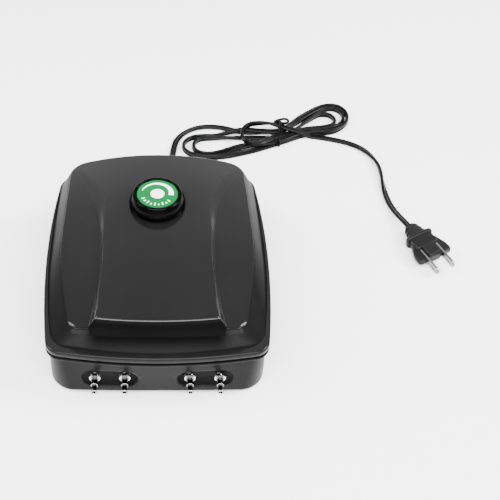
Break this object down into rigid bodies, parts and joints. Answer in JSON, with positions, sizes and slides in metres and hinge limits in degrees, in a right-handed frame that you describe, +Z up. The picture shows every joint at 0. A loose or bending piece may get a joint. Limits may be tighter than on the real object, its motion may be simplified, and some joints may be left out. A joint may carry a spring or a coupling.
{
  "type": "four-outlet air pump",
  "caption": "Diaphragm air pump with a domed lid, round air-control knob, barbed outlets along the front and a tied flat mains lead with a two-blade plug.",
  "frame": {"origin": "on the ground under the middle of the case and its nozzles, cord left out", "axes": "+Z up, outlets face -Y, mains lead leaves at +Y, +X to the right seen from the outlets"},
  "size_m": [0.2877, 0.3125, 0.082],
  "materials": {
    "black_plastic": "gloss",
    "knob_plastic": "gloss",
    "black_rubber": "satin",
    "vent_plastic": "satin",
    "filter_felt": "matt",
    "nozzle_chrome": "polished",
    "clear_hose": "satin",
    "zinc_steel": "satin",
    "core_steel": "satin",
    "bobbin_nylon": "satin",
    "copper_winding": "gloss",
    "chamber_plastic": "satin",
    "diaphragm_rubber": "matt",
    "valve_rubber": "matt",
    "brass": "satin",
    "resistor": "matt",
    "wire_sheath": "satin",
    "cord_sheath": "satin",
    "tie_wire": "satin",
    "plug_plastic": "satin",
    "blade_nickel": "satin",
    "green_label": "satin",
    "arm_alloy": "satin",
    "magnet_ferrite": "satin",
    "plunger_plastic": "satin"
  },
  "bodies": {
    "case": {"base_shell": "black_plastic", "lid_shell": "black_plastic", "case_gasket": "black_rubber", "foot_pads": "black_rubber", "case_screws": "zinc_steel", "intake_cover": "vent_plastic", "intake_filter": "filter_felt", "outlet_nozzles": "nozzle_chrome", "outlet_nuts": "nozzle_chrome", "outlet_washers": "nozzle_chrome", "air_hoses": "clear_hose", "chassis": "zinc_steel", "chassis_screws": "zinc_steel", "core_front": "core_steel", "core_rear": "core_steel", "bobbin_front": "bobbin_nylon", "bobbin_rear": "bobbin_nylon", "winding_front": "copper_winding", "winding_rear": "copper_winding", "chamber_front_left": "chamber_plastic", "chamber_front_right": "chamber_plastic", "chamber_rear_left": "chamber_plastic", "chamber_rear_right": "chamber_plastic", "diaphragm_front_left": "diaphragm_rubber", "diaphragm_front_right": "diaphragm_rubber", "diaphragm_rear_left": "diaphragm_rubber", "diaphragm_rear_right": "diaphragm_rubber", "valve_covers": "chamber_plastic", "valve_flaps": "valve_rubber", "cover_screws": "zinc_steel", "pivot_pins": "zinc_steel", "rheostat_case": "chamber_plastic", "rheostat_bushing": "brass", "rheostat_nut": "zinc_steel", "rheostat_track": "resistor", "terminal_block": "bobbin_nylon", "lead_wires": "wire_sheath", "strain_relief": "black_rubber", "cord_pump_side": "cord_sheath", "cord_plug_side": "cord_sheath", "cord_hank": "cord_sheath", "cord_tie": "tie_wire", "plug_body": "plug_plastic", "plug_blades": "blade_nickel"},
    "knob_assembly": {"knob": "knob_plastic", "knob_label": "green_label", "rheostat_shaft": "zinc_steel"},
    "front_left_arm": {"arm_front_left": "arm_alloy", "magnet_front_left": "magnet_ferrite", "plunger_front_left": "plunger_plastic"},
    "front_right_arm": {"arm_front_right": "arm_alloy", "magnet_front_right": "magnet_ferrite", "plunger_front_right": "plunger_plastic"},
    "rear_left_arm": {"arm_rear_left": "arm_alloy", "magnet_rear_left": "magnet_ferrite", "plunger_rear_left": "plunger_plastic"},
    "rear_right_arm": {"arm_rear_right": "arm_alloy", "magnet_rear_right": "magnet_ferrite", "plunger_rear_right": "plunger_plastic"}
  },
  "joints": [
    {"name": "knob_turn", "type": "hinge", "parent": "case", "child": "knob_assembly", "pos_m": [0, 0.021, 0.078], "axis": [0, 0, 1], "range_deg": [-135, 135]},
    {"name": "swing_front_left", "type": "hinge", "parent": "case", "child": "front_left_arm", "pos_m": [-0.0273, -0.003, 0.028], "axis": [0, 0, 1], "range_deg": [-1.8, 1.8], "stiffness_Nm_per_rad": 0.4},
    {"name": "swing_front_right", "type": "hinge", "parent": "case", "child": "front_right_arm", "pos_m": [0.0273, -0.003, 0.028], "axis": [0, 0, 1], "range_deg": [-1.8, 1.8], "stiffness_Nm_per_rad": 0.4},
    {"name": "swing_rear_left", "type": "hinge", "parent": "case", "child": "rear_left_arm", "pos_m": [-0.0273, 0.053, 0.028], "axis": [0, 0, 1], "range_deg": [-1.8, 1.8], "stiffness_Nm_per_rad": 0.4},
    {"name": "swing_rear_right", "type": "hinge", "parent": "case", "child": "rear_right_arm", "pos_m": [0.0273, 0.053, 0.028], "axis": [0, 0, 1], "range_deg": [-1.8, 1.8], "stiffness_Nm_per_rad": 0.4}
  ],
  "couplings": [
    {"joint": "swing_front_right", "follows": "swing_front_left", "ratio": -1},
    {"joint": "swing_rear_left", "follows": "swing_front_left", "ratio": 1},
    {"joint": "swing_rear_right", "follows": "swing_front_left", "ratio": -1}
  ]
}
